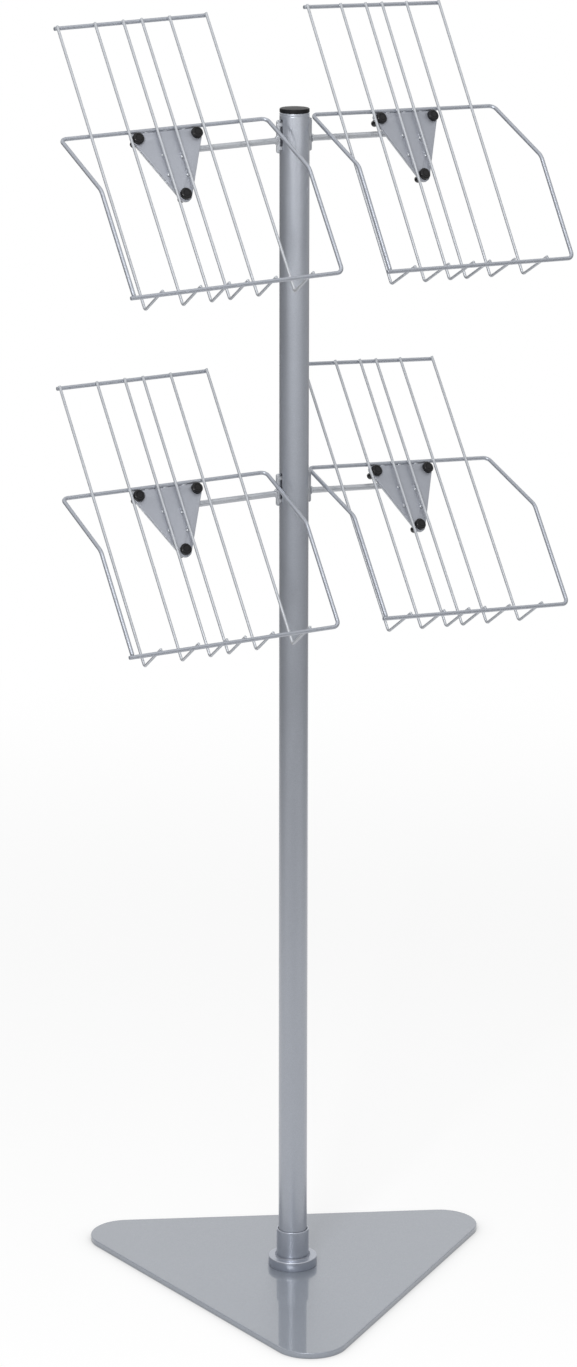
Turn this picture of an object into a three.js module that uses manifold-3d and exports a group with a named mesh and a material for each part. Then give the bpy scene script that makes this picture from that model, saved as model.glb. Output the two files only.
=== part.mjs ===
// Periodical display rack: a round pole on a triangular base plate, with four wire holders on hooked arms.
// Millimetres, +Z up. The origin is on the floor, on the pole's axis. The holders face -Y.
import * as THREE from "three";
import { mergeVertices } from "three/addons/utils/BufferGeometryUtils.js";
import Module from "manifold-3d";

const wasm = await Module();
wasm.setup();

// Base plate: an equilateral triangle with rounded corners.
const BASE_SIDE = 460.3;
const BASE_CORNER_R = 38;
const BASE_T = 6;
const BASE_TURN_DEG = -27.35;

// Socket: a collar on a flange, bored for the pole.
const FLANGE_D = 49.6;
const FLANGE_H = 10;
const FLANGE_ROUND = 2;
const COLLAR_D = 32.8;
const COLLAR_H = 29.2;
const COLLAR_ROUND = 0.8;
const SOCKET_FLOOR_T = 6;
const TURN_CLEARANCE = 0.4;
const SEAT_GAP = 0.3;

// Stud, plug and nut that hold the pole in the socket and let it turn.
const STUD_D = 8;
const STUD_CLEARANCE = 0.4;
const STUD_END = 3;
const PLUG_H = 14;
const PLUG_CLEARANCE = 0.2;
const NUT_ACROSS_FLATS = 13;
const NUT_H = 6.5;
const NUT_CLEARANCE = 0.3;

// Pole and its end cap.
const POLE_D = 28.9;
const POLE_WALL = 1.5;
const POLE_LENGTH = 1174.8;
const CAP_H = 3.7;
const CAP_ROUND = 1.1;
const CAP_PLUG_L = 8;

// Wire basket. In a basket, u runs across, v up the back rest and n forward out of it.
const WIRE_D = 2.8;
const BAR_D = 4;
const WELD_GAP = 0.2;
const WIRE_INNER_U = 9.86;
const WIRE_MIDDLE_U = 39.85;
const WIRE_OUTER_U = 79.62;
const WIRE_TOP_V = 294.44;
const WIRE_BEND_R = 3;
const WIRE_TIP_PAST_BAR = 0.3;
const TOP_BAR_BELOW_TIPS = 1.2;
const TOP_BAR_OVERHANG = 2;
const LOOP_WIDTH = 220;
const LOOP_BACK_V = 180.26;
const LOOP_KINK_V = 105.11;
const LOOP_BEND_R = 6;
const LOOP_KINK_R = 14;
const LOOP_END_PAST_RAIL = 4;
const POCKET_DEPTH = 43.2;

// Triangular plates and the push rivets that join them.
const PLATE_T = 1.5;
const PLATE_TOP_R = 4;
const PLATE_EDGE = 6.9;
const WELD_POINT_D = 2.6;
const WELD_POINT_H = 1.5;
const WELD_POINT_UPPER_DROP = 19;
const WELD_POINT_LOWER_DROP = 38;
const RIVET_SPREAD = 62.66;
const RIVET_BELOW_BAR = 7.85;
const RIVET_DROP = 60.8;
const RIVET_HEAD_D = 11.4;
const RIVET_HEAD_H = 4;
const RIVET_HEAD_RIM_H = 2.3;
const RIVET_HEAD_DOME_D = 10.4;
const RIVET_HEAD_FLAT_D = 8.2;
const RIVET_HEAD_SHOULDER = 0.6;
const RIVET_SHANK_D = 5.5;
const RIVET_HOLE_CLEARANCE = 0.35;
const RIVET_TAIL_L = 10;
const RIVET_TAIL_ROUND = 1.2;

// Arm: a rod on an upright foot, a flat fin whose two hooks hang in a slot of the pole.
const ROD_D = 6;
const ROD_BELOW_RIVETS = 13.67;
const ROD_PAST_CENTRE = 22;
const WELD_SINK = 0.3;
const FOOT_H = 32;
const FOOT_ABOVE_ROD = 3.2;
const FOOT_T = 2.4;
const FOOT_DEPTH = 3.4;
const FOOT_CORNER_R = 2;
const FOOT_GAP = 1.9;
const HOOK_SPAN = 26;
const HOOK_H = 3.5;
const HOOK_LIP_L = 2.5;
const HOOK_LIP_T = 2;
const HOOK_CLEARANCE = 0.7;
const SLOT_CLEARANCE = 0.5;
const SLOT_SIDE_CLEARANCE = 1.2;

// Where the arms hang: the rods' level on the pole's axis, and the reach to the middle of each basket.
const UPPER_ARM_BELOW_TOP = 25.7;
const ARM_LEVEL_SPACING = 345.2;
const UPPER_LEFT_REACH = 136.3;
const UPPER_RIGHT_REACH = 134.2;
const LOWER_LEFT_REACH = 136.8;
const LOWER_RIGHT_REACH = 131;
const SLOT_SWEEP_DEG = 5.2;

// Facets of round pieces.
const POLE_SIDES = 32;
const WIRE_SIDES = 6;
const BAR_SIDES = 8;
const ROD_SIDES = 12;
const RIVET_SIDES = 12;
const ARC_SEGMENTS = 5;
const BEND_STEPS = 4;
const ROUND_STEPS = 3;

const POLE_R = POLE_D / 2;
const POLE_BORE_R = POLE_R - POLE_WALL;
const WIRE_R = WIRE_D / 2;
const BAR_R = BAR_D / 2;
const ROD_R = ROD_D / 2;
const POLE_FOOT_Z = BASE_T + SOCKET_FLOOR_T + SEAT_GAP;
const POLE_TOP_Z = POLE_FOOT_Z + POLE_LENGTH;
const UPPER_ARM_Z = POLE_TOP_Z - UPPER_ARM_BELOW_TOP;
const LOWER_ARM_Z = UPPER_ARM_Z - ARM_LEVEL_SPACING;

// The holders: side -1 is left. Each arm hangs in its slot with some play, so droop, lean and sweep differ.
const HOLDERS = [
  { name: "upper_left", side: -1, height: UPPER_ARM_Z, reach: UPPER_LEFT_REACH,
    droopDeg: 1.32, leanDeg: 33.53, sweepDeg: 2.87 },
  { name: "upper_right", side: 1, height: UPPER_ARM_Z, reach: UPPER_RIGHT_REACH,
    droopDeg: 2.13, leanDeg: 31.41, sweepDeg: 2.58 },
  { name: "lower_left", side: -1, height: LOWER_ARM_Z, reach: LOWER_LEFT_REACH,
    droopDeg: 0.82, leanDeg: 35.46, sweepDeg: 3.93 },
  { name: "lower_right", side: 1, height: LOWER_ARM_Z, reach: LOWER_RIGHT_REACH,
    droopDeg: 4.21, leanDeg: 36.36, sweepDeg: 1.71 },
];

// Bars lie behind and below the wires. Plates hang under the back bar, held to the wires by weld points.
const BAR_OFFSET = WIRE_R + WELD_GAP + BAR_R;
const PLATE_FRONT_N = -WIRE_R - WELD_GAP - WELD_POINT_H;
const ARM_PLATE_FRONT_N = PLATE_FRONT_N - PLATE_T - WELD_GAP;
const ARM_PLATE_BACK_N = ARM_PLATE_FRONT_N - PLATE_T;
const PLATE_TOP_V = LOOP_BACK_V - BAR_R - WELD_GAP;
const RIVET_TOP_V = LOOP_BACK_V - RIVET_BELOW_BAR;
const RIVET_LOW_V = RIVET_TOP_V - RIVET_DROP;
const ROD_V = RIVET_TOP_V - ROD_BELOW_RIVETS;
const ROD_N = ARM_PLATE_BACK_N - ROD_R + WELD_SINK;
const RIVETS = [
  { name: "rivet_left", u: -RIVET_SPREAD / 2, v: RIVET_TOP_V },
  { name: "rivet_right", u: RIVET_SPREAD / 2, v: RIVET_TOP_V },
  { name: "rivet_low", u: 0, v: RIVET_LOW_V },
];

const paint = () => new THREE.MeshStandardMaterial({ color: 0xb4b9c4, roughness: 0.42, metalness: 0.35 });
const zinc = () => new THREE.MeshStandardMaterial({ color: 0x9a9da0, roughness: 0.4, metalness: 0.9 });
const blackPlastic = () => new THREE.MeshStandardMaterial({ color: 0x17181a, roughness: 0.3, metalness: 0 });

const rack = new THREE.Group();

function addMesh(parent, name, geometry, material) {
  const mesh = new THREE.Mesh(geometry, material);
  mesh.name = name;
  parent.add(mesh);
  return mesh;
}

function toSolid(geometry) {
  const bare = geometry.clone();
  bare.deleteAttribute("normal");
  bare.deleteAttribute("uv");
  const merged = mergeVertices(bare, 1e-4);
  const vertProperties = Float32Array.from(merged.attributes.position.array);
  const triVerts = Uint32Array.from(merged.index.array);
  return new wasm.Manifold(new wasm.Mesh({ numProp: 3, vertProperties, triVerts }));
}

function toGeometry(solid) {
  const mesh = solid.getMesh();
  const geometry = new THREE.BufferGeometry();
  geometry.setAttribute("position", new THREE.BufferAttribute(Float32Array.from(mesh.vertProperties), 3));
  geometry.setIndex(new THREE.BufferAttribute(Uint32Array.from(mesh.triVerts), 1));
  geometry.computeVertexNormals();
  return geometry;
}

// A path of straight runs and round bends, sampled only where it turns.
class BentPath extends THREE.Curve {
  constructor(corners, radii) {
    super();
    this.stations = BentPath.stationsOf(corners, radii);
  }

  static stationsOf(corners, radii) {
    const last = corners.length - 1;
    const direction = (i) => corners[i + 1].clone().sub(corners[i]).normalize();
    const stations = [{ point: corners[0], tangent: direction(0) }];
    for (let i = 1; i < last; i += 1) {
      const before = direction(i - 1);
      const after = direction(i);
      const turn = before.angleTo(after);
      const radius = radii[i - 1];
      const cut = radius * Math.tan(turn / 2);
      const start = corners[i].clone().addScaledVector(before, -cut);
      const inward = after.clone().addScaledVector(before, -after.dot(before)).normalize();
      for (let step = 0; step <= BEND_STEPS; step += 1) {
        const angle = (turn * step) / BEND_STEPS;
        const point = start.clone()
          .addScaledVector(before, radius * Math.sin(angle))
          .addScaledVector(inward, radius * (1 - Math.cos(angle)));
        const tangent = before.clone()
          .multiplyScalar(Math.cos(angle))
          .addScaledVector(inward, Math.sin(angle));
        stations.push({ point, tangent });
      }
    }
    stations.push({ point: corners[last], tangent: direction(last - 1) });
    return stations;
  }

  get steps() {
    return this.stations.length - 1;
  }

  stationAt(t) {
    return this.stations[Math.round(t * this.steps)];
  }

  getPoint(t) {
    return this.stationAt(t).point.clone();
  }

  getPointAt(t) {
    return this.stationAt(t).point.clone();
  }

  getTangent(t) {
    return this.stationAt(t).tangent.clone();
  }

  getTangentAt(t) {
    return this.stationAt(t).tangent.clone();
  }
}

function roundSection(radius, sides) {
  const points = [];
  for (let i = 0; i < sides; i += 1) {
    const angle = (2 * Math.PI * (i + 0.5)) / sides;
    points.push(new THREE.Vector2(radius * Math.cos(angle), radius * Math.sin(angle)));
  }
  return new THREE.Shape(points);
}

function bentWire(corners, radii, radius, sides) {
  const path = new BentPath(corners, radii);
  return new THREE.ExtrudeGeometry(roundSection(radius, sides), { steps: path.steps, extrudePath: path });
}

// A turned piece: profile points are (radius, height), from the axis or closed on themselves.
function turned(profile, sides) {
  const points = profile.map(([radius, height]) => new THREE.Vector2(radius, height));
  const geometry = new THREE.LatheGeometry(points, sides);
  geometry.rotateX(Math.PI / 2);
  return geometry;
}

// The points of a convex quarter round from (radius, height - round) to (radius - round, height).
function topRound(radius, height, round) {
  const points = [];
  for (let i = 0; i <= ROUND_STEPS; i += 1) {
    const angle = (Math.PI / 2) * (i / ROUND_STEPS);
    points.push([radius - round + round * Math.cos(angle), height - round + round * Math.sin(angle)]);
  }
  return points;
}

function upright(shape, depth) {
  return new THREE.ExtrudeGeometry(shape, { depth, bevelEnabled: false, curveSegments: ARC_SEGMENTS });
}

function circleHole(x, y, radius) {
  const hole = new THREE.Path();
  hole.absarc(x, y, radius, 0, 2 * Math.PI, true);
  return hole;
}

// A closed outline around circles, given counter-clockwise, as their common tangents and arcs.
function hullOfCircles(circles) {
  const shape = new THREE.Shape();
  const count = circles.length;
  const leaving = circles.map((circle, i) => {
    const next = circles[(i + 1) % count];
    const along = Math.atan2(next.y - circle.y, next.x - circle.x);
    const apart = Math.hypot(next.x - circle.x, next.y - circle.y);
    return along - Math.PI / 2 - Math.asin((next.r - circle.r) / apart);
  });
  circles.forEach((circle, i) => {
    const from = leaving[(i + count - 1) % count];
    shape.absarc(circle.x, circle.y, circle.r, from, leaving[i], false);
  });
  shape.closePath();
  return shape;
}

// Base plate
function makeBasePlate() {
  const centreR = BASE_SIDE / Math.sqrt(3) - 2 * BASE_CORNER_R;
  const corners = [0, 1, 2].map((i) => {
    const angle = -Math.PI / 2 + (i * 2 * Math.PI) / 3;
    return { x: centreR * Math.cos(angle), y: centreR * Math.sin(angle), r: BASE_CORNER_R };
  });
  const plate = addMesh(rack, "base_plate", upright(hullOfCircles(corners), BASE_T), paint());
  plate.rotation.z = THREE.MathUtils.degToRad(BASE_TURN_DEG);
}

// Socket, stud, plug and nut
function makeSocket() {
  const flangeTop = BASE_T + FLANGE_H;
  const collarTop = flangeTop + COLLAR_H;
  const boreR = POLE_R + TURN_CLEARANCE;
  const studHoleR = STUD_D / 2 + STUD_CLEARANCE;
  const floorTop = BASE_T + SOCKET_FLOOR_T;
  const profile = [
    [studHoleR, BASE_T],
    [FLANGE_D / 2, BASE_T],
    ...topRound(FLANGE_D / 2, flangeTop, FLANGE_ROUND),
    [COLLAR_D / 2, flangeTop],
    ...topRound(COLLAR_D / 2, collarTop, COLLAR_ROUND),
    [boreR, collarTop],
    [boreR, floorTop],
    [studHoleR, floorTop],
    [studHoleR, BASE_T],
  ];
  addMesh(rack, "socket", turned(profile, POLE_SIDES), paint());
}

function makeStudAndNut() {
  const plugTop = POLE_FOOT_Z + PLUG_H;
  const nutFoot = plugTop + SEAT_GAP;
  const studTop = nutFoot + NUT_H + STUD_END;
  const stud = [[0, BASE_T], [STUD_D / 2, BASE_T], [STUD_D / 2, studTop], [0, studTop]];
  addMesh(rack, "base_stud", turned(stud, ROD_SIDES), zinc());

  const hexagon = new THREE.Shape();
  const cornerR = NUT_ACROSS_FLATS / Math.sqrt(3);
  hexagon.setFromPoints([0, 1, 2, 3, 4, 5].map((i) => {
    const angle = (i * Math.PI) / 3;
    return new THREE.Vector2(cornerR * Math.cos(angle), cornerR * Math.sin(angle));
  }));
  hexagon.holes.push(circleHole(0, 0, STUD_D / 2 + NUT_CLEARANCE));
  const nut = addMesh(rack, "stud_nut", upright(hexagon, NUT_H), zinc());
  nut.position.z = nutFoot;

  const plugR = POLE_BORE_R - PLUG_CLEARANCE;
  const boreR = STUD_D / 2 + STUD_CLEARANCE;
  const plug = [
    [boreR, POLE_FOOT_Z], [plugR, POLE_FOOT_Z], [plugR, plugTop], [boreR, plugTop], [boreR, POLE_FOOT_Z],
  ];
  addMesh(rack, "pole_plug", turned(plug, POLE_SIDES), zinc());
}

// Foot frame: origin on the pole's axis at the rod's height, X swept back with the arm or with its slot.
function footFrame(holder, sweepDeg) {
  const frame = new THREE.Group();
  frame.position.z = holder.height;
  frame.rotation.order = "ZYX";
  frame.rotation.z = THREE.MathUtils.degToRad(holder.side * sweepDeg);
  frame.updateMatrix();
  return frame;
}

const droopOf = (holder) => THREE.MathUtils.degToRad(holder.side * holder.droopDeg);

// Arm frame: the foot's frame, with X drooped along the rod.
function armFrame(holder) {
  const frame = footFrame(holder, holder.sweepDeg);
  frame.rotation.y = droopOf(holder);
  frame.updateMatrix();
  return frame;
}

// Basket frame: origin at the bend of the wires, X is u, Z is v and -Y is n.
function basketFrame(holder) {
  const lean = new THREE.Matrix4().makeRotationX(-THREE.MathUtils.degToRad(holder.leanDeg));
  const shift = new THREE.Matrix4().makeTranslation(holder.side * holder.reach, ROD_N, -ROD_V);
  const frame = new THREE.Group();
  lean.multiply(shift).decompose(frame.position, frame.quaternion, frame.scale);
  frame.updateMatrix();
  return frame;
}

const uvn = (u, v, n) => new THREE.Vector3(u, -n, v);

// Pole with its slots, and its cap. A slot is taller than its hooks by a lip, which has to pass.
function makePole() {
  const tube = [
    [POLE_BORE_R, POLE_FOOT_Z], [POLE_R, POLE_FOOT_Z], [POLE_R, POLE_TOP_Z], [POLE_BORE_R, POLE_TOP_Z],
    [POLE_BORE_R, POLE_FOOT_Z],
  ];
  let solid = toSolid(turned(tube, POLE_SIDES));
  const slotFoot = FOOT_ABOVE_ROD - HOOK_SPAN / 2 - SEAT_GAP;
  const slotTop = FOOT_ABOVE_ROD + HOOK_SPAN / 2 + HOOK_LIP_L + SLOT_CLEARANCE;
  const slotW = FOOT_T + 2 * SLOT_SIDE_CLEARANCE;
  for (const holder of HOLDERS) {
    const slot = new THREE.BoxGeometry(2 * POLE_WALL + POLE_BORE_R / 2, slotW, slotTop - slotFoot);
    slot.translate(holder.side * POLE_R, 0, (slotTop + slotFoot) / 2);
    slot.applyMatrix4(footFrame(holder, SLOT_SWEEP_DEG).matrix);
    solid = solid.subtract(toSolid(slot));
  }
  addMesh(rack, "pole", toGeometry(solid), paint());

  const plugR = POLE_BORE_R - PLUG_CLEARANCE;
  const plugFoot = POLE_TOP_Z - CAP_PLUG_L;
  const headFoot = POLE_TOP_Z + SEAT_GAP;
  const cap = [
    [0, plugFoot], [plugR, plugFoot], [plugR, headFoot], [POLE_R, headFoot],
    ...topRound(POLE_R, headFoot + CAP_H, CAP_ROUND), [0, headFoot + CAP_H],
  ];
  addMesh(rack, "pole_cap", turned(cap, POLE_SIDES), blackPlastic());
}

// Outline shared by the two plates of a holder, in u and v.
function plateShape() {
  const topV = PLATE_TOP_V - PLATE_TOP_R;
  const topU = RIVET_SPREAD / 2 + PLATE_EDGE - PLATE_TOP_R;
  const shape = hullOfCircles([
    { x: 0, y: RIVET_LOW_V, r: PLATE_EDGE },
    { x: topU, y: topV, r: PLATE_TOP_R },
    { x: -topU, y: topV, r: PLATE_TOP_R },
  ]);
  for (const rivet of RIVETS) {
    shape.holes.push(circleHole(rivet.u, rivet.v, RIVET_SHANK_D / 2 + RIVET_HOLE_CLEARANCE));
  }
  return shape;
}

// A plate whose front face lies at frontN, turned from the XY plane into u and v.
function plateGeometry(frontN) {
  const geometry = upright(plateShape(), PLATE_T);
  geometry.rotateX(Math.PI / 2);
  geometry.translate(0, PLATE_T - frontN, 0);
  return geometry;
}

// Foot of an arm: a fin outside the pole, and its two hooks through the wall, cut from one sheet.
function footGeometry(side) {
  const finIn = POLE_R + FOOT_GAP;
  const finOut = finIn + FOOT_DEPTH;
  const hookIn = POLE_BORE_R - HOOK_CLEARANCE;
  const lipIn = hookIn - HOOK_LIP_T;
  const low = FOOT_ABOVE_ROD - FOOT_H / 2;
  const high = FOOT_ABOVE_ROD + FOOT_H / 2;
  const hookLow = FOOT_ABOVE_ROD - HOOK_SPAN / 2;
  const hookHigh = FOOT_ABOVE_ROD + HOOK_SPAN / 2;
  const upperHookLow = hookHigh - HOOK_H;
  const lowerHookHigh = hookLow + HOOK_H;
  const cornerX = finOut - FOOT_CORNER_R;
  const outline = new THREE.Shape();
  outline.moveTo(lipIn, hookLow - HOOK_LIP_L);
  outline.lineTo(hookIn, hookLow - HOOK_LIP_L);
  outline.lineTo(hookIn, hookLow);
  outline.lineTo(finIn, hookLow);
  outline.lineTo(finIn, low);
  outline.absarc(cornerX, low + FOOT_CORNER_R, FOOT_CORNER_R, -Math.PI / 2, 0, false);
  outline.absarc(cornerX, high - FOOT_CORNER_R, FOOT_CORNER_R, 0, Math.PI / 2, false);
  outline.lineTo(finIn, high);
  outline.lineTo(finIn, hookHigh);
  outline.lineTo(lipIn, hookHigh);
  outline.lineTo(lipIn, upperHookLow - HOOK_LIP_L);
  outline.lineTo(hookIn, upperHookLow - HOOK_LIP_L);
  outline.lineTo(hookIn, upperHookLow);
  outline.lineTo(finIn, upperHookLow);
  outline.lineTo(finIn, lowerHookHigh);
  outline.lineTo(lipIn, lowerHookHigh);
  outline.closePath();
  const geometry = upright(outline, FOOT_T);
  geometry.translate(0, 0, -FOOT_T / 2);
  geometry.rotateX(Math.PI / 2);
  if (side < 0) {
    geometry.rotateZ(Math.PI);
  }
  return geometry;
}

// Basket plate with the raised points at which it is welded to the two inner wires
function makePlate(holder, basket) {
  let solid = toSolid(plateGeometry(PLATE_FRONT_N));
  const pointFoot = PLATE_FRONT_N - PLATE_T / 2;
  const pointTop = -WIRE_R - WELD_GAP;
  const pointR = WELD_POINT_D / 2;
  const profile = [[0, pointFoot], [pointR, pointFoot], [pointR, pointTop], [0, pointTop]];
  for (const drop of [WELD_POINT_UPPER_DROP, WELD_POINT_LOWER_DROP]) {
    for (const u of [-WIRE_INNER_U, WIRE_INNER_U]) {
      const point = turned(profile, BAR_SIDES);
      point.rotateX(Math.PI / 2);
      point.translate(u, 0, RIVET_TOP_V - drop);
      solid = solid.add(toSolid(point));
    }
  }
  addMesh(basket, `${holder.name}_plate`, toGeometry(solid), paint());
}

function makeArm(holder, arm, basket) {
  const rodIn = POLE_R + FOOT_GAP + FOOT_DEPTH - WELD_SINK;
  const rodOut = holder.reach + ROD_PAST_CENTRE;
  const rodEnds = [rodIn, rodOut].map((x) => new THREE.Vector3(holder.side * x, 0, 0));
  const rod = bentWire(rodEnds, [], ROD_R, ROD_SIDES);

  const plate = plateGeometry(ARM_PLATE_FRONT_N);
  plate.applyMatrix4(basket.matrix);

  const foot = footGeometry(holder.side);
  foot.rotateY(-droopOf(holder));
  const solid = toSolid(foot).add(toSolid(rod)).add(toSolid(plate));
  addMesh(arm, `${holder.name}_arm`, toGeometry(solid), paint());
}

function makeRivet(holder, basket, rivet) {
  const headFoot = PLATE_FRONT_N + WELD_GAP;
  const tailEnd = ARM_PLATE_BACK_N - RIVET_TAIL_L;
  const shankR = RIVET_SHANK_D / 2;
  const headR = RIVET_HEAD_D / 2;
  const headTop = headFoot + RIVET_HEAD_H;
  const profile = [
    [0, tailEnd],
    [shankR - RIVET_TAIL_ROUND, tailEnd],
    [shankR, tailEnd + RIVET_TAIL_ROUND],
    [shankR, headFoot],
    [headR, headFoot],
    [headR, headFoot + RIVET_HEAD_RIM_H],
    [RIVET_HEAD_DOME_D / 2, headTop - RIVET_HEAD_SHOULDER],
    [RIVET_HEAD_FLAT_D / 2, headTop],
    [0, headTop],
  ];
  const geometry = turned(profile, RIVET_SIDES);
  geometry.rotateX(Math.PI / 2);
  const mesh = addMesh(basket, `${holder.name}_${rivet.name}`, geometry, blackPlastic());
  mesh.position.copy(uvn(rivet.u, rivet.v, 0));
}

function makeWires(holder, basket) {
  const tipN = POCKET_DEPTH + WIRE_TIP_PAST_BAR;
  const across = [-WIRE_OUTER_U, -WIRE_MIDDLE_U, -WIRE_INNER_U, WIRE_INNER_U, WIRE_MIDDLE_U, WIRE_OUTER_U];
  across.forEach((u, i) => {
    const corners = [uvn(u, WIRE_TOP_V, 0), uvn(u, 0, 0), uvn(u, 0, tipN)];
    const geometry = bentWire(corners, [WIRE_BEND_R], WIRE_R, WIRE_SIDES);
    addMesh(basket, `${holder.name}_wire_${i + 1}`, geometry, paint());
  });
}

function makeTopBar(holder, basket) {
  const end = WIRE_OUTER_U + TOP_BAR_OVERHANG;
  const v = WIRE_TOP_V - TOP_BAR_BELOW_TIPS;
  const ends = [uvn(-end, v, -BAR_OFFSET), uvn(end, v, -BAR_OFFSET)];
  addMesh(basket, `${holder.name}_top_bar`, bentWire(ends, [], BAR_R, BAR_SIDES), paint());
}

function makeLoop(holder, basket) {
  const railU = LOOP_WIDTH / 2;
  const frontV = -BAR_OFFSET;
  const railFootV = frontV + BAR_R + WELD_GAP;
  const corners = [
    uvn(-railU - LOOP_END_PAST_RAIL, frontV, POCKET_DEPTH),
    uvn(railU, frontV, POCKET_DEPTH),
    uvn(railU, LOOP_KINK_V, POCKET_DEPTH),
    uvn(railU, LOOP_BACK_V, -BAR_OFFSET),
    uvn(-railU, LOOP_BACK_V, -BAR_OFFSET),
    uvn(-railU, LOOP_KINK_V, POCKET_DEPTH),
    uvn(-railU, railFootV, POCKET_DEPTH),
  ];
  const radii = [LOOP_BEND_R, LOOP_KINK_R, LOOP_BEND_R, LOOP_BEND_R, LOOP_KINK_R];
  addMesh(basket, `${holder.name}_loop`, bentWire(corners, radii, BAR_R, BAR_SIDES), paint());
}

function makeHolder(holder) {
  const arm = armFrame(holder);
  const basket = basketFrame(holder);
  rack.add(arm);
  arm.add(basket);
  makeArm(holder, arm, basket);
  makePlate(holder, basket);
  for (const rivet of RIVETS) {
    makeRivet(holder, basket, rivet);
  }
  makeWires(holder, basket);
  makeTopBar(holder, basket);
  makeLoop(holder, basket);
}

makeBasePlate();
makeSocket();
makeStudAndNut();
makePole();
HOLDERS.forEach(makeHolder);

export default rack;
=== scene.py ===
import math

import bmesh
import bpy
from mathutils import Matrix, Vector


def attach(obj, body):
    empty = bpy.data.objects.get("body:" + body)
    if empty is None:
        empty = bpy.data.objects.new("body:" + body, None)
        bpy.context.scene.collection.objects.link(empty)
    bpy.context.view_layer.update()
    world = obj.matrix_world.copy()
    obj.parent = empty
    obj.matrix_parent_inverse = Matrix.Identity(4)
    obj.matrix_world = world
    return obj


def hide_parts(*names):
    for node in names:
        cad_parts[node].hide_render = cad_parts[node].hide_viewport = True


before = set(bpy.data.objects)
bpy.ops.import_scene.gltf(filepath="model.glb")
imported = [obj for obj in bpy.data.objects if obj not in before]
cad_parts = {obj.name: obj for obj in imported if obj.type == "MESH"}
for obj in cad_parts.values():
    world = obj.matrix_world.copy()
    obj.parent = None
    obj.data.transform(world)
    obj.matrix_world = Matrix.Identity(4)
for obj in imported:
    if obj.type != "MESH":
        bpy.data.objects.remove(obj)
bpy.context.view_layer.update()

scene = bpy.context.scene


# Camera. A long lens a little over four metres away, somewhat above the top of the pole and
# turned 33 degrees to the left of the pockets' front, looking 15 degrees down.
camera_data = bpy.data.cameras.new("photo_camera")
camera_data.sensor_fit = "VERTICAL"
camera_data.sensor_height = 36.0
camera_data.lens = 116.05
camera_data.clip_end = 120.0
camera = bpy.data.objects.new("photo_camera", camera_data)
camera.location = (-2.26691, -3.54263, 1.7589)
camera.rotation_euler = [math.radians(angle) for angle in (74.867, -0.0763, -32.5254)]
scene.collection.objects.link(camera)
scene.camera = camera


# Base plate. A flat triangle of 6 mm steel with round corners, its edge broken by a small
# radius, under a silver-grey powder coat that is glossy enough to mirror the pole.
base_side = 0.4603
base_corner = 0.038
base_thick = 0.006
base_turn = math.radians(-27.35)
base_edge_top = 0.0011
base_edge_foot = 0.0006
base_edge_flat = 0.0008


def add_node(tree, kind, values=(), **settings):
    """One node of a tree, with its settings and the values of some of its inputs."""
    made = tree.nodes.new(kind)
    for key, value in settings.items():
        setattr(made, key, value)
    for key, value in dict(values).items():
        made.inputs[key].default_value = value
    return made


def silver_coat(name, dark, light, metallic, gloss, gloss_rough, least_rough, most_rough, gloss_ior=1.5):
    """Silver-grey powder coat: fine flake, a faint orange peel and a thin clear gloss."""
    coat = bpy.data.materials.new(name)
    coat.use_nodes = True
    tree = coat.node_tree
    link = tree.links.new
    shader = tree.nodes["Principled BSDF"]
    shader.inputs["Metallic"].default_value = metallic
    shader.inputs["Coat Weight"].default_value = gloss
    shader.inputs["Coat Roughness"].default_value = gloss_rough
    shader.inputs["Coat IOR"].default_value = gloss_ior
    place = add_node(tree, "ShaderNodeTexCoord")
    cloud = add_node(tree, "ShaderNodeTexNoise", {"Scale": 7.0, "Detail": 3.0})
    tone = add_node(tree, "ShaderNodeMix", {6: dark, 7: light}, data_type="RGBA")
    flake = add_node(tree, "ShaderNodeTexVoronoi", {"Scale": 3600.0})
    glint = add_node(tree, "ShaderNodeSeparateColor")
    glint_range = add_node(tree, "ShaderNodeMapRange", {"To Min": 0.90, "To Max": 1.10})
    flaked = add_node(tree, "ShaderNodeVectorMath", operation="SCALE")
    peel = add_node(tree, "ShaderNodeTexNoise", {"Scale": 420.0, "Detail": 2.0, "Roughness": 0.4})
    rough = add_node(tree, "ShaderNodeMapRange",
                     {"From Min": 0.3, "From Max": 0.7, "To Min": least_rough, "To Max": most_rough})
    bump = add_node(tree, "ShaderNodeBump", {"Strength": 0.09, "Distance": 0.00006})
    for texture in (cloud, flake, peel):
        link(place.outputs["Object"], texture.inputs["Vector"])
    link(cloud.outputs["Fac"], tone.inputs[0])
    link(flake.outputs["Color"], glint.inputs[0])
    link(glint.outputs[0], glint_range.inputs["Value"])
    link(tone.outputs[2], flaked.inputs[0])
    link(glint_range.outputs[0], flaked.inputs["Scale"])
    link(flaked.outputs[0], shader.inputs["Base Color"])
    link(peel.outputs["Fac"], rough.inputs["Value"])
    link(rough.outputs[0], shader.inputs["Roughness"])
    link(peel.outputs["Fac"], bump.inputs["Height"])
    link(bump.outputs[0], shader.inputs["Normal"])
    return coat


def round_hull(circles, steps):
    """Points round a hull of circles (x, y, radius), which are given counter-clockwise."""
    count = len(circles)
    leaving = []
    for i, (x, y, r) in enumerate(circles):
        nx, ny, nr = circles[(i + 1) % count]
        along = math.atan2(ny - y, nx - x)
        leaving.append(along - math.pi / 2 - math.asin((nr - r) / math.hypot(nx - x, ny - y)))
    points = []
    for i, (x, y, r) in enumerate(circles):
        start = leaving[i - 1]
        sweep = (leaving[i] - start) % (2 * math.pi)
        for step in range(steps + 1):
            angle = start + sweep * step / steps
            points.append((x + r * math.cos(angle), y + r * math.sin(angle)))
    return points


def quarter_round(radius, steps):
    """(in, up) along a quarter round that rises from an upright edge to a flat face."""
    angles = [math.pi / 2 * step / steps for step in range(steps + 1)]
    return [(radius * (1 - math.cos(angle)), radius * math.sin(angle)) for angle in angles]


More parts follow.
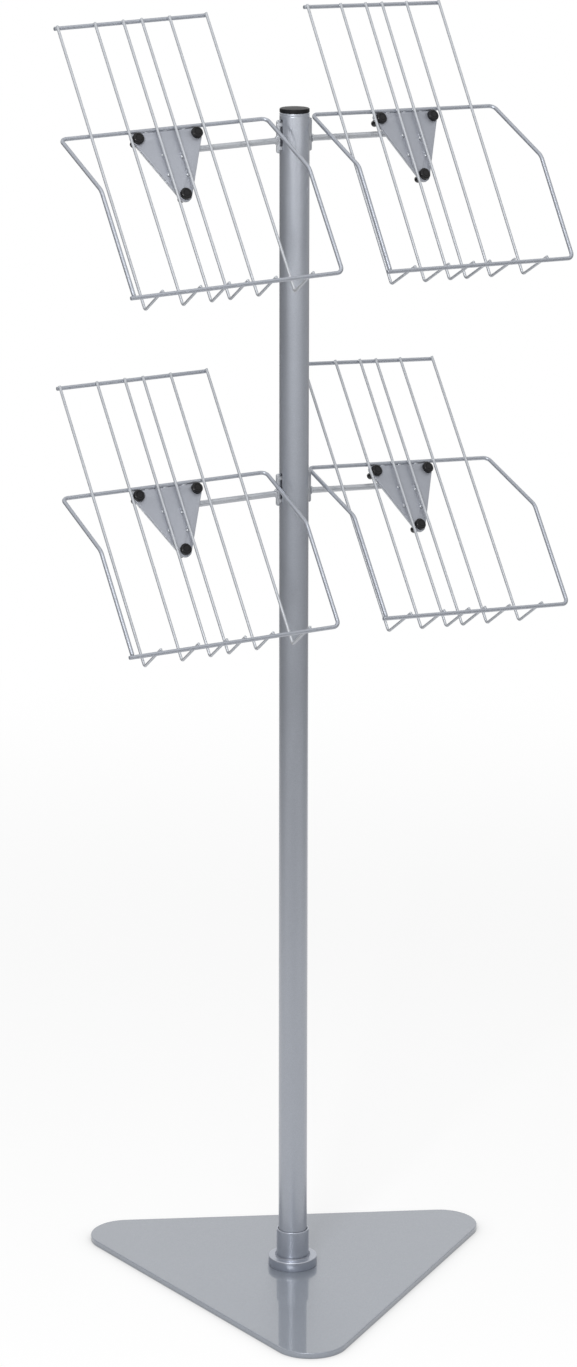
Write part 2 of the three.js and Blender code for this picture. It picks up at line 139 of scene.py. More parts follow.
def bridge(bm, low, high):
    """Faces between two closed rings of vertices with as many points each."""
    count = len(low)
    for i in range(count):
        j = (i + 1) % count
        bm.faces.new((low[i], low[j], high[j], high[i]))


def finish_piece(bm, name, material, crease=36.0):
    """The bmesh as an object at the origin, smooth but for edges sharper than the crease."""
    bmesh.ops.recalc_face_normals(bm, faces=bm.faces)
    mesh = bpy.data.meshes.new(name)
    bm.to_mesh(mesh)
    bm.free()
    mesh.shade_smooth()
    mesh.set_sharp_from_angle(angle=math.radians(crease))
    mesh.materials.append(material)
    piece = bpy.data.objects.new(name, mesh)
    scene.collection.objects.link(piece)
    return piece


base_silver = silver_coat(
    "silver_coat_on_base", dark=(0.296, 0.327, 0.383, 1), light=(0.320, 0.351, 0.407, 1), metallic=0.32,
    gloss=1.0, gloss_rough=0.03, least_rough=0.40, most_rough=0.46, gloss_ior=1.75)
centre_r = base_side / math.sqrt(3) - 2 * base_corner
corner_turns = [base_turn - math.pi / 2 + i * 2 * math.pi / 3 for i in range(3)]
foot_round = quarter_round(base_edge_foot, steps=3)
top_round = quarter_round(base_edge_top, steps=5)
edge_rings = [(inset, base_edge_foot - rise) for inset, rise in reversed(foot_round)]
edge_rings += [(inset, base_thick - base_edge_top + rise) for inset, rise in top_round]
edge_rings += [(base_edge_top + base_edge_flat, base_thick)]
bm = bmesh.new()
rings = []
for inset, height in edge_rings:
    r = base_corner - inset
    corners = [(centre_r * math.cos(a), centre_r * math.sin(a), r) for a in corner_turns]
    rings.append([bm.verts.new((x, y, height)) for x, y in round_hull(corners, steps=30)])
for low, high in zip(rings, rings[1:]):
    bridge(bm, low, high)
bm.faces.new(rings[0])
bm.faces.new(rings[-1])
base_plate = finish_piece(bm, "base_plate_steel", base_silver)
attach(base_plate, "base")
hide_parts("base_plate")


# Socket. A turned steel collar on a round flange, welded to the base plate, in a coat with more
# metal in it. The pole turns in its bore, so its upper lip stands a hair off the tube.
flange_r = 0.0248
flange_top = 0.016
flange_edge = 0.0011
flange_foot_edge = 0.0005
collar_r = 0.0164
collar_top = 0.0452
collar_root = 0.0013
collar_lip = 0.0007
socket_bore_r = 0.01485
bore_edge_wide = 0.0003
bore_edge_deep = 0.0004
socket_floor = 0.012
stud_hole_r = 0.0044
beside_round = 0.0004


def turned(bm, profile, sides, closed=False):
    """A turned shape about Z from (radius, height) points; a radius of nothing is a pole."""
    loops = []
    turns = [2 * math.pi * i / sides for i in range(sides)]
    for radius, height in profile:
        if radius < 1e-7:
            loops.append([bm.verts.new((0, 0, height))] * sides)
            continue
        loops.append([bm.verts.new((radius * math.cos(a), radius * math.sin(a), height)) for a in turns])
    if closed:
        loops.append(loops[0])
    for low, high in zip(loops, loops[1:]):
        for i in range(sides):
            j = (i + 1) % sides
            corners = (low[i], low[j], high[j], high[i])
            kept = [v for k, v in enumerate(corners) if v not in corners[:k]]
            bm.faces.new(kept)


socket_silver = silver_coat(
    "silver_coat_on_socket", dark=(0.440, 0.465, 0.520, 1), light=(0.480, 0.505, 0.560, 1), metallic=0.92,
    gloss=0.12, gloss_rough=0.12, least_rough=0.34, most_rough=0.40)
flange_round = quarter_round(flange_edge, steps=4)
root_round = quarter_round(collar_root, steps=4)
lip_round = quarter_round(collar_lip, steps=4)
profile = [(stud_hole_r, base_thick), (flange_r - flange_foot_edge, base_thick)]
profile += [(flange_r, base_thick + flange_foot_edge), (flange_r, flange_top - flange_edge - beside_round)]
profile += [(flange_r - inset, flange_top - flange_edge + rise) for inset, rise in flange_round]
profile += [(flange_r - flange_edge - beside_round, flange_top)]
profile += [(collar_r + collar_root + beside_round, flange_top)]
profile += [(collar_r + rise, flange_top + inset) for inset, rise in reversed(root_round)]
profile += [(collar_r, flange_top + collar_root + beside_round)]
profile += [(collar_r, collar_top - collar_lip - beside_round)]
profile += [(collar_r - inset, collar_top - collar_lip + rise) for inset, rise in lip_round]
profile += [(socket_bore_r + bore_edge_wide, collar_top), (socket_bore_r, collar_top - bore_edge_deep)]
profile += [(socket_bore_r, socket_floor), (stud_hole_r, socket_floor)]
bm = bmesh.new()
turned(bm, profile, sides=96, closed=True)
socket = finish_piece(bm, "pole_socket", socket_silver, crease=50.0)
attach(socket, "base")
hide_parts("socket")


# Stud, nut and plug. The zinc-plated steel parts inside the pole's foot, which hold it down and
# let it turn. They keep the shape of the solids and are hidden in the closed socket.
def zinc_plate():
    """Zinc plating: a grey metal with a soft mottle and fine turning marks."""
    zinc = bpy.data.materials.new("zinc_plating")
    zinc.use_nodes = True
    tree = zinc.node_tree
    link = tree.links.new
    shader = tree.nodes["Principled BSDF"]
    shader.inputs["Metallic"].default_value = 1.0
    place = add_node(tree, "ShaderNodeTexCoord")
    mottle = add_node(tree, "ShaderNodeTexNoise", {"Scale": 320.0, "Detail": 4.0})
    shades = add_node(tree, "ShaderNodeValToRGB")
    shades.color_ramp.elements[0].color = (0.44, 0.45, 0.46, 1)
    shades.color_ramp.elements[1].color = (0.64, 0.65, 0.66, 1)
    marks = add_node(tree, "ShaderNodeTexWave", {"Scale": 900.0, "Distortion": 1.5}, bands_direction="Z")
    rough = add_node(tree, "ShaderNodeMapRange", {"To Min": 0.30, "To Max": 0.48})
    bump = add_node(tree, "ShaderNodeBump", {"Strength": 0.25, "Distance": 0.00005})
    link(place.outputs["Object"], mottle.inputs["Vector"])
    link(place.outputs["Object"], marks.inputs["Vector"])
    link(mottle.outputs["Fac"], shades.inputs["Fac"])
    link(shades.outputs["Color"], shader.inputs["Base Color"])
    link(mottle.outputs["Fac"], rough.inputs["Value"])
    link(rough.outputs[0], shader.inputs["Roughness"])
    link(marks.outputs["Fac"], bump.inputs["Height"])
    link(bump.outputs[0], shader.inputs["Normal"])
    return zinc


zinc = zinc_plate()
for node_name in ("base_stud", "stud_nut", "pole_plug"):
    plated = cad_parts[node_name]
    if not plated.material_slots:
        plated.data.materials.append(zinc)
    for finish_slot in plated.material_slots:
        finish_slot.material = zinc


# Pole. A round steel tube of 29 mm with a 1.5 mm wall, its upper rim rounded above a fine groove,
# with four upright slots punched through the wall for the hooks of the arms. Its coat is satin.
pole_r = 0.01445
pole_bore_r = 0.01295
pole_foot = 0.0123
pole_top = 1.1871
rim_round = 0.0013
groove_below_top = 0.0027
groove_deep = 0.00022
groove_half = 0.0004
groove_margin = 0.0007
slot_sweep = math.radians(5.2)
upper_level = 1.1614
lower_level = 0.8162
slot_low = -0.0101
slot_high = 0.0192
slot_width = 0.0048
slot_columns = 4
wall_columns = 44
same_height = 1e-6

silver = silver_coat(
    "silver_powder_coat", dark=(0.389, 0.413, 0.465, 1), light=(0.434, 0.458, 0.508, 1), metallic=0.55,
    gloss=0.45, gloss_rough=0.09, least_rough=0.31, most_rough=0.36)
slot_half = math.asin(slot_width / 2 / pole_r)
slot_turns = (slot_sweep, math.pi - slot_sweep)
turn_lines = []
for middle, far in zip(slot_turns, (slot_turns[1], slot_turns[0] + 2 * math.pi)):
    turn_lines += [middle - slot_half + 2 * slot_half * i / slot_columns for i in range(slot_columns)]
    span = far - middle - 2 * slot_half
    turn_lines += [middle + slot_half + span * i / wall_columns for i in range(wall_columns)]
slot_spans = [(level + slot_low, level + slot_high) for level in (lower_level, upper_level)]
groove = pole_top - groove_below_top
height_lines = [pole_foot, pole_top - rim_round]
height_lines += [groove + step for step in (-groove_margin, -groove_half, 0.0, groove_half, groove_margin)]
height_lines += [height for span in slot_spans for height in span]
height_lines.sort()


def in_slot(column, row):
    """Whether a cell of the tube's wall lies in one of the slots."""
    low = height_lines[row]
    slot_column = column % (slot_columns + wall_columns) < slot_columns
    return slot_column and any(abs(low - span[0]) < same_height for span in slot_spans)


bm = bmesh.new()
columns = len(turn_lines)
walls = []
for radius in (pole_r, pole_bore_r):
    wall = []
    for height in height_lines:
        r = radius - groove_deep if height == groove and radius == pole_r else radius
        wall.append([bm.verts.new((r * math.cos(a), r * math.sin(a), height)) for a in turn_lines])
    walls.append(wall)
outer, inner = walls
for row in range(len(height_lines) - 1):
    for column in range(columns):
        after = (column + 1) % columns
        cell = ((row, column), (row, after), (row + 1, after), (row + 1, column))
        out_cell = [outer[r][c] for r, c in cell]
        in_cell = [inner[r][c] for r, c in cell]
        if not in_slot(column, row):
            bm.faces.new(out_cell)
            bm.faces.new(in_cell[::-1])
            continue
        beside = [(column, row - 1), (column + 1, row), (column, row + 1), (column - 1, row)]
        for side, (c, r) in enumerate(beside):
            if not in_slot(c % columns, r):
                near, far = side, (side + 1) % 4
                bm.faces.new((out_cell[near], in_cell[near], in_cell[far], out_cell[far]))
rim = [outer[-1]]
for inset, rise in quarter_round(rim_round, steps=4)[1:]:
    r = pole_r - inset
    height = pole_top - rim_round + rise
    rim.append([bm.verts.new((r * math.cos(a), r * math.sin(a), height)) for a in turn_lines])
for low, high in zip(rim, rim[1:]):
    bridge(bm, low, high)
bridge(bm, rim[-1], inner[-1])
bridge(bm, outer[0], inner[0])
pole = finish_piece(bm, "pole_tube", silver, crease=40.0)
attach(pole, "column")
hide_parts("pole")


# Pole cap. A moulded black plastic plug pushed into the top of the tube, with a low satin head
# that is as wide as the tube and has a small round on its edge.
cap_foot = 1.18716
cap_foot_edge = 0.0003
cap_top = 1.1911
cap_edge = 0.0011
cap_crown = 0.0002
cap_crown_r = 0.006
cap_crown_drop = 0.00005
cap_plug_r = 0.01275
cap_plug_foot = 1.1791
cap_plug_edge = 0.0006


def moulded_black(name, shine, least_rough, most_rough):
    """Black plastic with a faint moulded grain and a little dust-grey in its tone."""
    plastic = bpy.data.materials.new(name)
    plastic.use_nodes = True
    tree = plastic.node_tree
    link = tree.links.new
    shader = tree.nodes["Principled BSDF"]
    shader.inputs["Specular IOR Level"].default_value = shine
    place = add_node(tree, "ShaderNodeTexCoord")
    cloud = add_node(tree, "ShaderNodeTexNoise", {"Scale": 140.0, "Detail": 3.0})
    shades = add_node(tree, "ShaderNodeValToRGB")
    shades.color_ramp.elements[0].color = (0.008, 0.008, 0.009, 1)
    shades.color_ramp.elements[1].color = (0.016, 0.016, 0.018, 1)
    grain = add_node(tree, "ShaderNodeTexNoise", {"Scale": 2400.0, "Detail": 2.0})
    rough = add_node(tree, "ShaderNodeMapRange", {"To Min": least_rough, "To Max": most_rough})
    bump = add_node(tree, "ShaderNodeBump", {"Strength": 0.2, "Distance": 0.00004})
    link(place.outputs["Object"], cloud.inputs["Vector"])
    link(place.outputs["Object"], grain.inputs["Vector"])
    link(cloud.outputs["Fac"], shades.inputs["Fac"])
    link(shades.outputs["Color"], shader.inputs["Base Color"])
    link(cloud.outputs["Fac"], rough.inputs["Value"])
    link(rough.outputs[0], shader.inputs["Roughness"])
    link(grain.outputs["Fac"], bump.inputs["Height"])
    link(bump.outputs[0], shader.inputs["Normal"])
    return plastic


satin_black = moulded_black("black_satin_plastic", shine=0.14, least_rough=0.40, most_rough=0.48)
cap_round = quarter_round(cap_edge, steps=7)
profile = [(0, cap_plug_foot), (cap_plug_r - cap_plug_edge, cap_plug_foot)]
profile += [(cap_plug_r, cap_plug_foot + cap_plug_edge), (cap_plug_r, cap_foot)]
profile += [(pole_r - cap_foot_edge, cap_foot), (pole_r, cap_foot + cap_foot_edge)]
profile += [(pole_r - inset, cap_top - cap_edge - cap_crown + rise) for inset, rise in cap_round]
profile += [(cap_crown_r, cap_top - cap_crown_drop), (0, cap_top)]
bm = bmesh.new()
turned(bm, profile, sides=96)
cap = finish_piece(bm, "pole_end_cap", satin_black)
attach(cap, "column")
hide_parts("pole_cap")


# Arms. Each is a 6 mm steel rod welded to a flat fin, whose two hooks hang in a slot of the pole,
# and at its other end to a triangular plate that carries the basket. Each is coated in one piece.
holders = (  # name, side of the pole, level, reach, and droop, lean and sweep in degrees
    ("upper_left", -1, upper_level, 0.1363, 1.32, 33.53, 2.87),
    ("upper_right", 1, upper_level, 0.1342, 2.13, 31.41, 2.58),
    ("lower_left", -1, lower_level, 0.1368, 0.82, 35.46, 3.93),
    ("lower_right", 1, lower_level, 0.1310, 4.21, 36.36, 1.71),
)
rod_r = 0.003
rod_past_centre = 0.022
rod_into_fin = 0.0003
rod_end_round = 0.0006
rod_v = 0.15874
rod_n = -0.0090
sheet_thick = 0.0015
sheet_edge = 0.0003
arm_plate_front = -0.0048
rivet_places = ((-0.03133, 0.17241), (0.03133, 0.17241), (0.0, 0.11161))
rivet_hole_r = 0.0031
rivet_hole_sides = 24
plate_top_v = 0.17806
plate_top_u = 0.03423
plate_top_r = 0.004
plate_low_r = 0.0069
fin_in = 0.01635
fin_out = 0.01975
fin_low = -0.0128
fin_high = 0.0192
fin_corner = 0.0020
fin_corner_steps = 8
fin_thick = 0.0024
fin_edge = 0.0005
hook_in = 0.01225
hook_lip_in = 0.01025
hook_low = -0.0098
hook_high = 0.0162
hook_tall = 0.0035
hook_lip = 0.0025
foot_bead = (0.0011, 0.0012, 0.0013)
foot_bead_out = 0.0004
foot_bead_across = 0.0021
foot_bead_up = 0.0029
foot_bead_count = 10
rod_bead = (0.0013, 0.0011, 0.0012)
rod_bead_off = 0.0006
rod_bead_up = 0.0024
rod_bead_start = -0.019
rod_bead_step = 0.0017
rod_bead_count = 9
end_taper = ((0, 0.72), (0.35, 0.9), (1, 1))
bead_unevenness = 0.12


def foot_place(side, level, sweep):
    """Frame of an arm's foot: X points out along the arm, Z up the pole."""
    return Matrix.Translation((0, 0, level)) @ Matrix.Rotation(side * math.radians(sweep), 4, "Z")


def arm_place(side, level, droop, sweep):
    """Frame of an arm: the foot's frame, drooped as the arm hangs."""
    return foot_place(side, level, sweep) @ Matrix.Rotation(side * math.radians(droop), 4, "Y")


def basket_place(side, level, reach, droop, lean, sweep):
    """Frame of a basket: X across, Z up the back rest and -Y forward, from the wires' bend."""
    leaning = Matrix.Rotation(-math.radians(lean), 4, "X")
    from_rod = Matrix.Translation((side * reach, rod_n, -rod_v))
    return arm_place(side, level, droop, sweep) @ leaning @ from_rod


def new_tree(name, given, made):
    """A geometry tree with the given inputs as (label, kind) and one output; and its two end nodes."""
    tree = bpy.data.node_groups.new(name, "GeometryNodeTree")
    for label, kind in given:
        tree.interface.new_socket(label, in_out="INPUT", socket_type="NodeSocket" + kind)
    tree.interface.new_socket(made, in_out="OUTPUT", socket_type="NodeSocketGeometry")
    return tree, add_node(tree, "NodeGroupInput"), add_node(tree, "NodeGroupOutput")


def finish_tree(tree, given, made, shape):
    """Ends a tree: its shape made real, given the finish, and passed to the one output."""
    whole = add_node(tree, "GeometryNodeRealizeInstances")
    coated = add_node(tree, "GeometryNodeSetMaterial")
    tree.links.new(shape, whole.inputs["Geometry"])
    tree.links.new(whole.outputs["Geometry"], coated.inputs["Geometry"])
    tree.links.new(given.outputs["Finish"], coated.inputs["Material"])
    tree.links.new(coated.outputs["Geometry"], made.inputs[0])
    return tree


def bent_wire_tree():
    """Round wire along a path of corners, each with its own bend, with its ends broken."""
    tree, given, made = new_tree("bent_wire", (
        ("Path", "Geometry"), ("Radius", "Float"), ("Sides", "Int"), ("Bend steps", "Int"),
        ("Finish", "Material")), "Wire")
    link = tree.links.new
    path = add_node(tree, "GeometryNodeMeshToCurve")
    bend = add_node(tree, "GeometryNodeInputNamedAttribute", {"Name": "bend"}, data_type="FLOAT")
    taper = add_node(tree, "GeometryNodeInputNamedAttribute", {"Name": "taper"}, data_type="FLOAT")
    rounded = add_node(tree, "GeometryNodeFilletCurve", {"Limit Radius": True}, mode="POLY")
    section = add_node(tree, "GeometryNodeCurvePrimitiveCircle")
    sweep = add_node(tree, "GeometryNodeCurveToMesh", {"Fill Caps": True})
    link(given.outputs["Path"], path.inputs["Mesh"])
    link(path.outputs["Curve"], rounded.inputs["Curve"])
    link(bend.outputs["Attribute"], rounded.inputs["Radius"])
    link(given.outputs["Bend steps"], rounded.inputs["Count"])
    link(given.outputs["Sides"], section.inputs["Resolution"])
    link(given.outputs["Radius"], section.inputs["Radius"])
    link(rounded.outputs["Curve"], sweep.inputs["Curve"])
    link(section.outputs["Curve"], sweep.inputs["Profile Curve"])
    link(taper.outputs["Attribute"], sweep.inputs["Scale"])
    return finish_tree(tree, given, made, sweep.outputs["Mesh"])


def made_by(tree, mesh, **values):
    """The plain mesh that a node tree makes of a mesh, with its inputs set by name here."""
    maker = bpy.data.objects.new("maker", mesh)
    scene.collection.objects.link(maker)
    modifier = maker.modifiers.new("make", "NODES")
    modifier.node_group = tree
    for item in tree.interface.items_tree:
        key = item.name.replace(" ", "_").lower()
        if item.in_out == "INPUT" and key in values:
            modifier[item.identifier] = values[key]
    graph = bpy.context.evaluated_depsgraph_get()
    result = bpy.data.meshes.new_from_object(maker.evaluated_get(graph))
    bpy.data.objects.remove(maker)
    return result


def wire_paths(paths, end_round):
    """A mesh of open paths of (point, bend radius), each with its ends tapered over end_round."""
    points, edges, bends, tapers = [], [], [], []
    for path in paths:
        corners = [Vector(point) for point, _ in path]
        head = (corners[1] - corners[0]).normalized()
        tail = (corners[-2] - corners[-1]).normalized()
        run = [(corners[0] + head * (end_round * step), 0.0, size) for step, size in end_taper]
        run += [(corners[i], path[i][1], 1.0) for i in range(1, len(path) - 1)]
        run += [(corners[-1] + tail * (end_round * step), 0.0, size) for step, size in reversed(end_taper)]
        start = len(points)
        edges += [(start + i, start + i + 1) for i in range(len(run) - 1)]
        for point, bend, taper in run:
            points.append(point)
            bends.append(bend)
            tapers.append(taper)
    mesh = bpy.data.meshes.new("wire_paths")
    mesh.from_pydata(points, edges, [])
    mesh.attributes.new("bend", "FLOAT", "POINT").data.foreach_set("value", bends)
    mesh.attributes.new("taper", "FLOAT", "POINT").data.foreach_set("value", tapers)
    return mesh


def cut_sheet(outlines, thick, edge):
    """A flat sheet in XY about z = 0, cut to its outlines, the first outside, with broken edges."""
    curve = bpy.data.curves.new("sheet", "CURVE")
    curve.dimensions = "2D"
    curve.fill_mode = "BOTH"
    curve.extrude = thick / 2 - edge
    curve.bevel_depth = edge
    curve.bevel_resolution = 2
    curve.offset = -edge
    for outline in outlines:
        spline = curve.splines.new("POLY")
        spline.points.add(len(outline) - 1)
        for point, (x, y) in zip(spline.points, outline):
            point.co = (x, y, 0, 1)
        spline.use_cyclic_u = True
    maker = bpy.data.objects.new("sheet", curve)
    scene.collection.objects.link(maker)
    graph = bpy.context.evaluated_depsgraph_get()
    mesh = bpy.data.meshes.new_from_object(maker.evaluated_get(graph))
    bpy.data.objects.remove(maker)
    bm = bmesh.new()
    bm.from_mesh(mesh)
    bpy.data.meshes.remove(mesh)
    bmesh.ops.remove_doubles(bm, verts=bm.verts, dist=1e-6)
    return bm


def holed_plate(front):
    """A triangular plate with its three rivet holes, its front face at that depth of the basket."""
    low_u, low_v = rivet_places[2]
    top = plate_top_v - plate_top_r
    outline = round_hull([(low_u, low_v, plate_low_r), (plate_top_u, top, plate_top_r),
                          (-plate_top_u, top, plate_top_r)], steps=12)
    turns = [-2 * math.pi * i / rivet_hole_sides for i in range(rivet_hole_sides)]
    holes = [[(u + rivet_hole_r * math.cos(a), v + rivet_hole_r * math.sin(a)) for a in turns]
             for u, v in rivet_places]
    bm = cut_sheet([outline] + holes, sheet_thick, sheet_edge)
    upright = Matrix.Rotation(math.pi / 2, 4, "X")
    bm.transform(Matrix.Translation((0, sheet_thick / 2 - front, 0)) @ upright)
    return bm


def arm_foot():
    """Fin and hooks of an arm, cut from one sheet, in the foot's frame for an arm to the right."""
    corner = fin_out - fin_corner
    upper_low = hook_high - hook_tall
    lower_high = hook_low + hook_tall
    turns = [math.pi / 2 * i / fin_corner_steps for i in range(fin_corner_steps + 1)]
    outline = [(hook_lip_in, hook_low - hook_lip), (hook_in, hook_low - hook_lip), (hook_in, hook_low)]
    outline += [(fin_in, hook_low), (fin_in, fin_low)]
    outline += [(corner + fin_corner * math.sin(a), fin_low + fin_corner * (1 - math.cos(a)))
                for a in turns]
    outline += [(corner + fin_corner * math.cos(a), fin_high - fin_corner * (1 - math.sin(a)))
                for a in turns]
    outline += [(fin_in, fin_high), (fin_in, hook_high), (hook_lip_in, hook_high)]
    outline += [(hook_lip_in, upper_low - hook_lip), (hook_in, upper_low - hook_lip), (hook_in, upper_low)]
    outline += [(fin_in, upper_low), (fin_in, lower_high), (hook_lip_in, lower_high)]
    bm = cut_sheet([outline], fin_thick, fin_edge)
    bm.transform(Matrix.Rotation(math.pi / 2, 4, "X"))
    return bm


def weld_bead_tree():
    """Small uneven weld beads on points, each as large as the point's size says."""
    tree, given, made = new_tree("weld_beads", (
        ("Points", "Geometry"), ("Unevenness", "Float"), ("Seed", "Int"), ("Finish", "Material")), "Beads")
    link = tree.links.new
    bead = add_node(tree, "GeometryNodeMeshUVSphere", {"Segments": 12, "Rings": 7, "Radius": 1.0})
    size = add_node(tree, "GeometryNodeInputNamedAttribute", {"Name": "size"}, data_type="FLOAT_VECTOR")
    least = add_node(tree, "ShaderNodeMath", {0: 1.0}, operation="SUBTRACT")
    most = add_node(tree, "ShaderNodeMath", {0: 1.0}, operation="ADD")
    uneven = add_node(tree, "FunctionNodeRandomValue", data_type="FLOAT")
    scaled = add_node(tree, "ShaderNodeVectorMath", operation="SCALE")
    on_points = add_node(tree, "GeometryNodeInstanceOnPoints")
    link(given.outputs["Unevenness"], least.inputs[1])
    link(given.outputs["Unevenness"], most.inputs[1])
    link(least.outputs[0], uneven.inputs[2])
    link(most.outputs[0], uneven.inputs[3])
    link(given.outputs["Seed"], uneven.inputs["Seed"])
    link(size.outputs["Attribute"], scaled.inputs[0])
    link(uneven.outputs[1], scaled.inputs["Scale"])
    link(given.outputs["Points"], on_points.inputs["Points"])
    link(bead.outputs["Mesh"], on_points.inputs["Instance"])
    link(scaled.outputs[0], on_points.inputs["Scale"])
    return finish_tree(tree, given, made, on_points.outputs["Instances"])


# A paler copy of the silver coat, painted lighter so the thin wires, arms and weld beads read as brightly
# lit: painted light.
silver_painted_paler = silver_coat(
    "silver_coat_on_wire", dark=(0.50, 0.52, 0.555, 1), light=(0.54, 0.56, 0.595, 1), metallic=0.45,
    gloss=0.45, gloss_rough=0.09, least_rough=0.31, most_rough=0.36)
wire_tree = bent_wire_tree()
bead_tree = weld_bead_tree()


def weld_beads(beads, seed):
    """A mesh of weld beads from (place, half sizes)."""
    mesh = bpy.data.meshes.new("bead_points")
    mesh.from_pydata([place for place, _ in beads], [], [])
    sizes = [value for _, size in beads for value in size]
    mesh.attributes.new("size", "FLOAT_VECTOR", "POINT").data.foreach_set("vector", sizes)
    return made_by(bead_tree, mesh, unevenness=bead_unevenness, seed=seed, finish=silver_painted_paler)


def gather(bm, mesh, place):
    """Adds a made mesh to a bmesh at its place, and deletes the mesh."""
    mesh.transform(place)
    bm.from_mesh(mesh)
    bpy.data.meshes.remove(mesh)


def to_mesh(bm, name):
    """The bmesh as a mesh, freed."""
    mesh = bpy.data.meshes.new(name)
    bm.to_mesh(mesh)
    bm.free()
    return mesh


for number, (name, *pose) in enumerate(holders):
    side, level, reach, droop, lean, sweep = pose
    at_foot = foot_place(side, level, sweep)
    at_arm = arm_place(side, level, droop, sweep)
    at_basket = basket_place(*pose)
    facing = Matrix.Rotation(0 if side > 0 else math.pi, 4, "Z")
    rod_start = side * (fin_out - rod_into_fin)
    rod_path = [((rod_start, 0, 0), 0.0), ((side * (reach + rod_past_centre), 0, 0), 0.0)]
    rod = made_by(wire_tree, wire_paths([rod_path], rod_end_round), radius=rod_r, sides=24, bend_steps=1,
                  finish=silver_painted_paler)
    foot_x = side * (fin_out + foot_bead_out)
    foot_turns = [2 * math.pi * i / foot_bead_count for i in range(foot_bead_count)]
    foot_beads = [((foot_x, foot_bead_across * math.cos(a), foot_bead_up * math.sin(a)), foot_bead)
                  for a in foot_turns]
    rod_n_weld = -arm_plate_front + sheet_thick + rod_bead_off
    rod_us = [side * (rod_bead_start + rod_bead_step * i) for i in range(rod_bead_count)]
    rod_beads = [((u, rod_n_weld, rod_v + way * rod_bead_up), rod_bead) for way in (-1, 1) for u in rod_us]
    bm = bmesh.new()
    gather(bm, to_mesh(arm_foot(), "foot"), at_foot @ facing)
    gather(bm, rod, at_arm)
    gather(bm, to_mesh(holed_plate(arm_plate_front), "plate"), at_basket)
    gather(bm, weld_beads(foot_beads, 10 + number), at_arm)
    gather(bm, weld_beads(rod_beads, 20 + number), at_basket)
    arm = finish_piece(bm, name + "_arm_steel", silver_painted_paler)
    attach(arm, "column")
    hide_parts(name + "_arm")


# Basket plates. Triangles of 1.5 mm sheet under the back bar of each basket, in a flatter coat,
# with four raised points on which the two inner wires are spot-welded.
basket_plate_front = -0.0031
inner_wire_u = 0.00986
point_heights = (0.15341, 0.13441)
point_left = 0.0005
point_profile = [(0, -0.0005), (0.0022, -0.0005), (0.0022, 0.0), (0.0020, 0.0006), (0.0015, 0.0012),
                 (0, 0.0015)]
sheet_silver = silver_coat(
    "silver_coat_on_sheet", dark=(0.372, 0.391, 0.440, 1), light=(0.404, 0.423, 0.470, 1), metallic=0.36,
    gloss=0.25, gloss_rough=0.25, least_rough=0.44, most_rough=0.50)
for name, *pose in holders:
    bm = bmesh.new()
    gather(bm, to_mesh(holed_plate(basket_plate_front), "plate"), Matrix.Identity(4))
    for v in point_heights:
        for u in (-inner_wire_u, inner_wire_u):
            point = bmesh.new()
            turned(point, point_profile, sides=16)
            on_face = Matrix.Translation((u - point_left, -basket_plate_front, v))
            gather(bm, to_mesh(point, "point"), on_face @ Matrix.Rotation(math.pi / 2, 4, "X"))
    bm.transform(basket_place(*pose))
    plate = finish_piece(bm, name + "_basket_plate", sheet_silver)
    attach(plate, "column")
    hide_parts(name + "_plate")


# Basket wires. Six straight 2.8 mm steel wires a basket, each bent forward at its foot with a
# tight bend and cut off just past the front bar.
wire_r = 0.0014
wire_top_v = 0.29444
wire_bend = 0.003
wire_tip_n = 0.0435
wire_end_round = 0.0004
wire_us = (-0.07962, -0.03985, -inner_wire_u, inner_wire_u, 0.03985, 0.07962)
paths = [[((u, 0, wire_top_v), 0.0), ((u, 0, 0), wire_bend), ((u, -wire_tip_n, 0), 0.0)] for u in wire_us]
for name, *pose in holders:
    wires = made_by(wire_tree, wire_paths(paths, wire_end_round), radius=wire_r, sides=16, bend_steps=9,
                    finish=silver_painted_paler)
    bm = bmesh.new()
    gather(bm, wires, basket_place(*pose))
    basket_wires = finish_piece(bm, name + "_basket_wires", silver_painted_paler)
    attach(basket_wires, "column")
    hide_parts(*[f"{name}_wire_{i}" for i in range(1, 7)])


# Basket bars. A straight 4 mm bar under the tips of the wires, and a loop of the same bar that is
# bent round the pocket: front bar, rails, and back bar. Its cut end lies at the left front corner.
bar_r = 0.002
bar_back = 0.0036
bar_end_round = 0.0004
top_bar_v = 0.29324
top_bar_u = 0.08162
pocket_depth = 0.0432
rail_u = 0.110
rail_end_gap = 0.0002
front_bar_past = 0.004
loop_back_v = 0.18026
loop_kink_v = 0.10511
corner_bend = 0.006
kink_bend = 0.014
top_path = [((-top_bar_u, bar_back, top_bar_v), 0.0), ((top_bar_u, bar_back, top_bar_v), 0.0)]
loop_path = [
    ((-rail_u - front_bar_past, -pocket_depth, -bar_back), 0.0),
    ((rail_u, -pocket_depth, -bar_back), corner_bend),
    ((rail_u, -pocket_depth, loop_kink_v), kink_bend),
    ((rail_u, bar_back, loop_back_v), corner_bend),
    ((-rail_u, bar_back, loop_back_v), corner_bend),
    ((-rail_u, -pocket_depth, loop_kink_v), kink_bend),
    ((-rail_u, -pocket_depth, -bar_back + bar_r + rail_end_gap), 0.0),
]
bars = (("_top_bar_steel", "_top_bar", top_path), ("_pocket_loop", "_loop", loop_path))
for name, *pose in holders:
    for piece_name, node_name, path in bars:
        bent = made_by(wire_tree, wire_paths([path], bar_end_round), radius=bar_r, sides=20, bend_steps=10,
                       finish=silver)
        bm = bmesh.new()
        gather(bm, bent, basket_place(*pose))
        bar = finish_piece(bm, name + piece_name, silver)
        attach(bar, "column")
        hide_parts(name + node_name)


